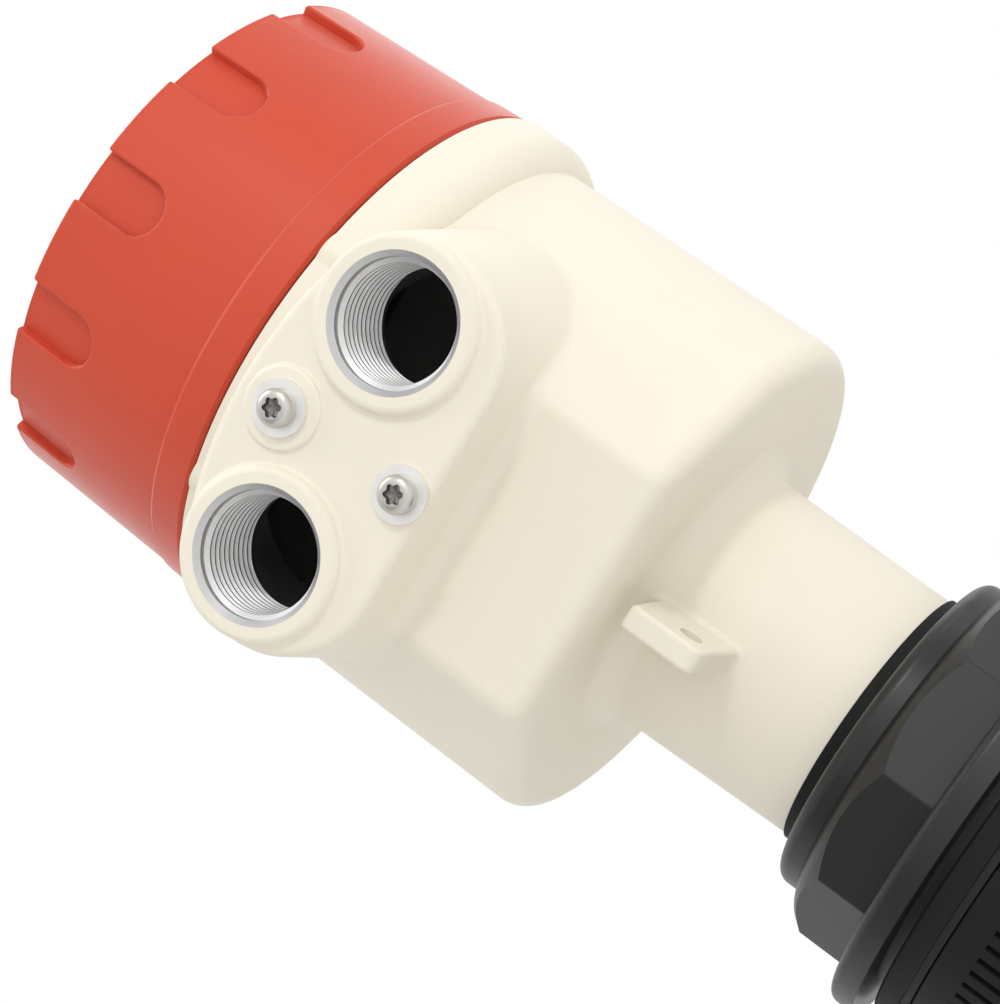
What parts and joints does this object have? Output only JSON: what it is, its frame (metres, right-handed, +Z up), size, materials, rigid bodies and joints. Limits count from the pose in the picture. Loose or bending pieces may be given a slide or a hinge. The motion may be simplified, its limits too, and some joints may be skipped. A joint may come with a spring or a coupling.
{
  "type": "ultrasonic level meter",
  "caption": "Compact ultrasonic level meter: cast housing with red screw cap and conduit entries, on a black plastic sensor with process thread, flange, gasket, ribbed lock nut.",
  "frame": {"origin": "middle of the flat sensing face at the bottom of the sensor tube, the zero of the measured distance", "axes": "+Z up along the sensor's axis towards the cap, -Y the way the conduit plate faces, +X to the right when the plate is looked at"},
  "size_m": [0.0996, 0.1124, 0.248],
  "materials": {
    "cream_paint": "satin powder coat",
    "red_paint": "satin powder coat",
    "stainless": "plain",
    "black_rubber": "matt",
    "black_plastic": "fine moulded",
    "grey_plastic": "smooth",
    "module_plastic": "fine moulded",
    "white_plastic": "smooth",
    "transformer_plastic": "wound, varnished",
    "capacitor_sleeve": "shrink sleeve",
    "terminal_plastic": "smooth",
    "board_laminate": "solder resist",
    "syntactic_foam": "cut foam",
    "piezo_ceramic": "ground ceramic",
    "backing_epoxy": "cast",
    "potting_epoxy": "cast",
    "lead_jacket": "smooth jacket"
  },
  "bodies": {
    "housing": {"housing": "cream_paint", "upper_screw": "stainless", "upper_washer": "stainless", "lower_screw": "stainless", "lower_washer": "stainless", "neck_gasket": "black_rubber", "sensor_body": "black_plastic", "mount_gasket": "black_rubber", "matching_layer": "syntactic_foam", "piezo_disc": "piezo_ceramic", "backing_block": "backing_epoxy", "potting_fill": "potting_epoxy", "transducer_lead": "lead_jacket", "lead_plug": "white_plastic", "module_pot": "module_plastic", "main_board": "board_laminate", "board_screws": "stainless", "pulse_transformer": "transformer_plastic", "storage_capacitor": "capacitor_sleeve", "module_lid": "module_plastic", "lid_screws": "stainless", "terminal_block": "terminal_plastic", "terminal_screws": "stainless"},
    "cap_seal": {"cap_seal": "black_rubber"},
    "cap": {"cap": "red_paint"},
    "slip_washer": {"slip_washer": "grey_plastic"},
    "lock_nut": {"lock_nut": "black_plastic"}
  },
  "joints": [
    {"name": "cap_turn", "type": "hinge", "parent": "housing", "child": "cap_seal", "pos_m": [0, 0, 0.2075], "axis": [0, 0, 1], "range_deg": [0, 2880]},
    {"name": "cap_lift", "type": "slide", "parent": "cap_seal", "child": "cap", "axis": [0, 0, 1], "range_m": [0, 0.016]},
    {"name": "nut_travel", "type": "slide", "parent": "housing", "child": "slip_washer", "axis": [0, 0, -1], "range_m": [0, 0.04618]},
    {"name": "nut_turn", "type": "hinge", "parent": "slip_washer", "child": "lock_nut", "pos_m": [0, 0, 0.0603], "axis": [0, 0, -1], "range_deg": [0, 7200]}
  ],
  "couplings": [
    {"joint": "cap_lift", "follows": "cap_turn", "m_per_rad": 0.00031831},
    {"joint": "nut_travel", "follows": "nut_turn", "m_per_rad": 0.00036749}
  ]
}
